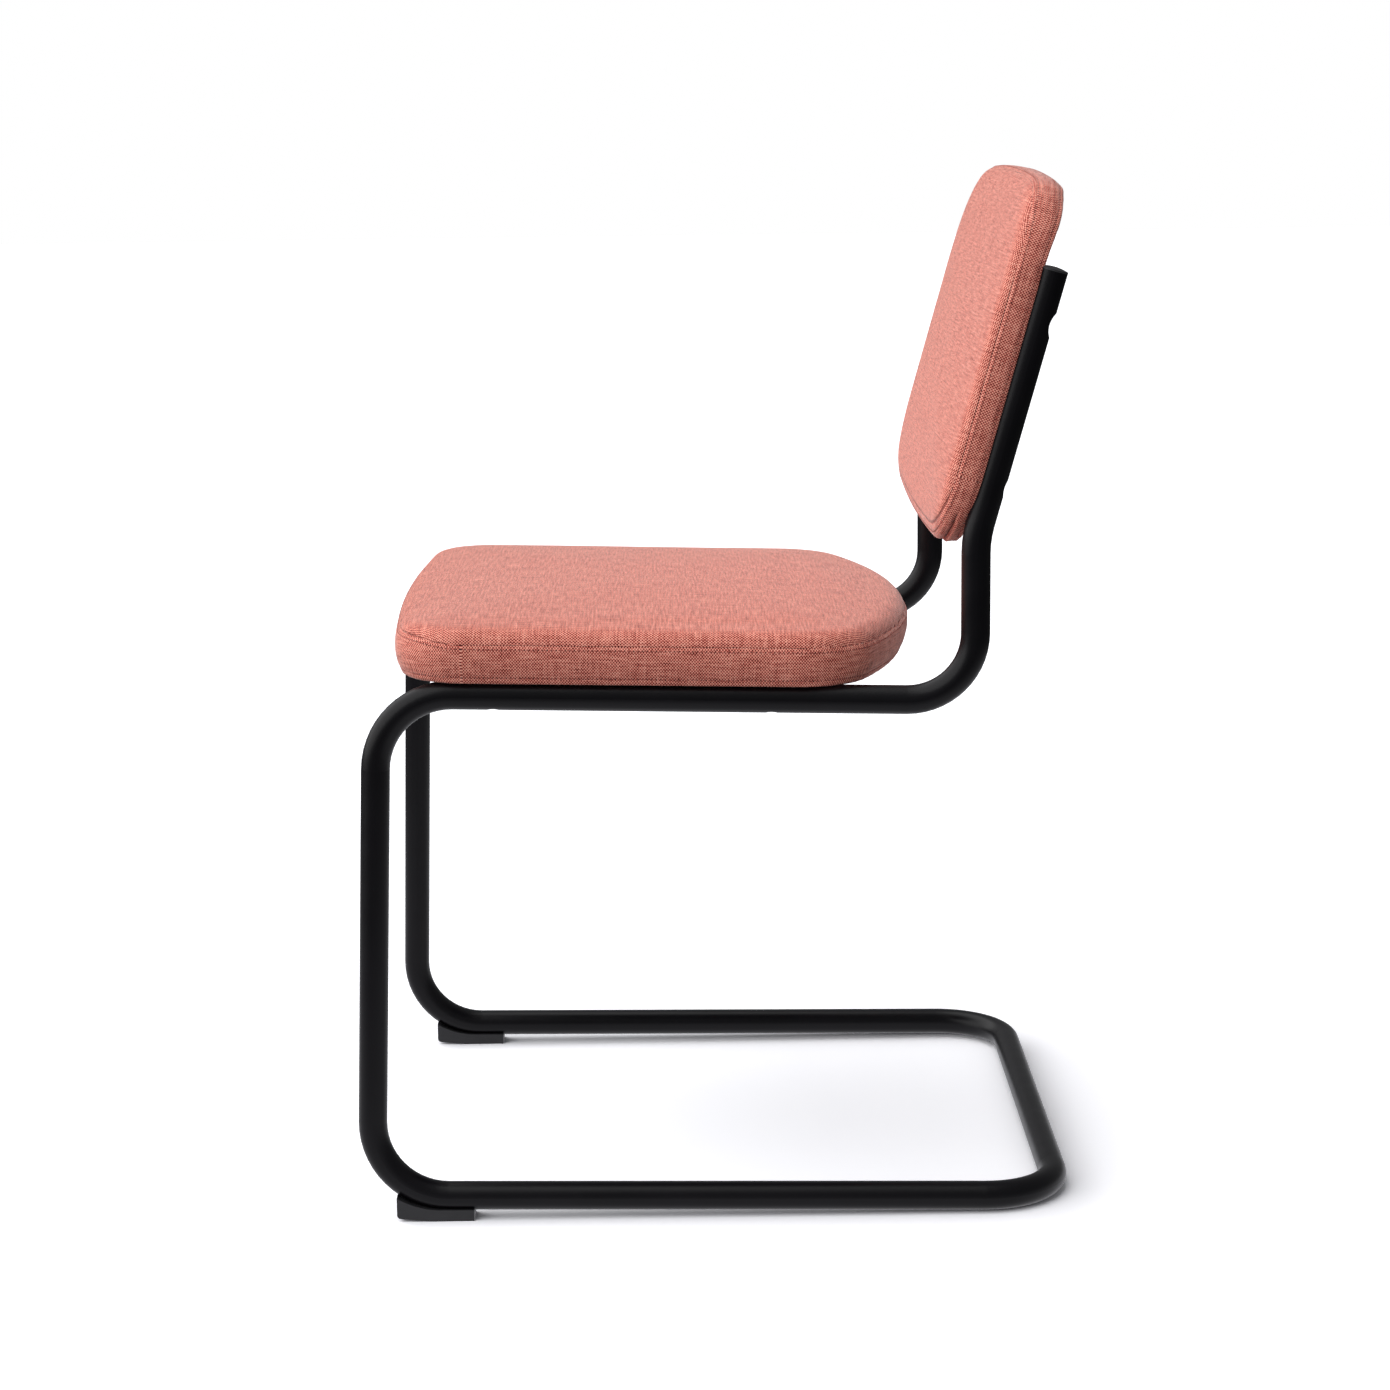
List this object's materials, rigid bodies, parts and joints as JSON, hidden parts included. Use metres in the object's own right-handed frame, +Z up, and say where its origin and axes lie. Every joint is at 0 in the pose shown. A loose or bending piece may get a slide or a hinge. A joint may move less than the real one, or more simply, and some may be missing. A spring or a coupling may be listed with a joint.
{
  "type": "cantilever dining chair",
  "caption": "Cantilever dining chair: bent round-tube frame standing on a floor loop and front wedge glides, with an upholstered seat and backrest.",
  "frame": {"origin": "on the floor, under the middle of the chair's bounding box", "axes": "+Z up, -Y the way a sitter faces, +X the sitter's left"},
  "size_m": [0.4714, 0.5519, 0.7897],
  "materials": {
    "frame_powder_coat": "satin black powder coat",
    "zinc_plated_steel": "zinc plated",
    "black_plastic": "matt black moulded plastic",
    "plywood": "raw birch plywood",
    "cushion_foam": "open cell foam",
    "upholstery_fabric": "woven two-tone coral pink upholstery cloth",
    "under_cloth": "black non-woven cloth"
  },
  "bodies": {
    "root": {"frame_tube_left": "frame_powder_coat", "frame_tube_right": "frame_powder_coat", "rear_bar_joint_sleeve": "zinc_plated_steel", "upright_end_plug_left": "black_plastic", "upright_end_plug_right": "black_plastic", "front_glide_left": "black_plastic", "front_glide_right": "black_plastic", "front_glide_screws": "zinc_plated_steel", "seat_plywood_board": "plywood", "seat_foam_pad": "cushion_foam", "seat_fabric_cover": "upholstery_fabric", "seat_under_cloth": "under_cloth", "seat_threaded_inserts": "zinc_plated_steel", "seat_fixing_bolts": "zinc_plated_steel", "backrest_plywood_board": "plywood", "backrest_foam_pad": "cushion_foam", "backrest_fabric_cover": "upholstery_fabric", "backrest_rear_cloth": "under_cloth", "backrest_threaded_inserts": "zinc_plated_steel", "backrest_fixing_bolts": "zinc_plated_steel"}
  },
  "joints": []
}
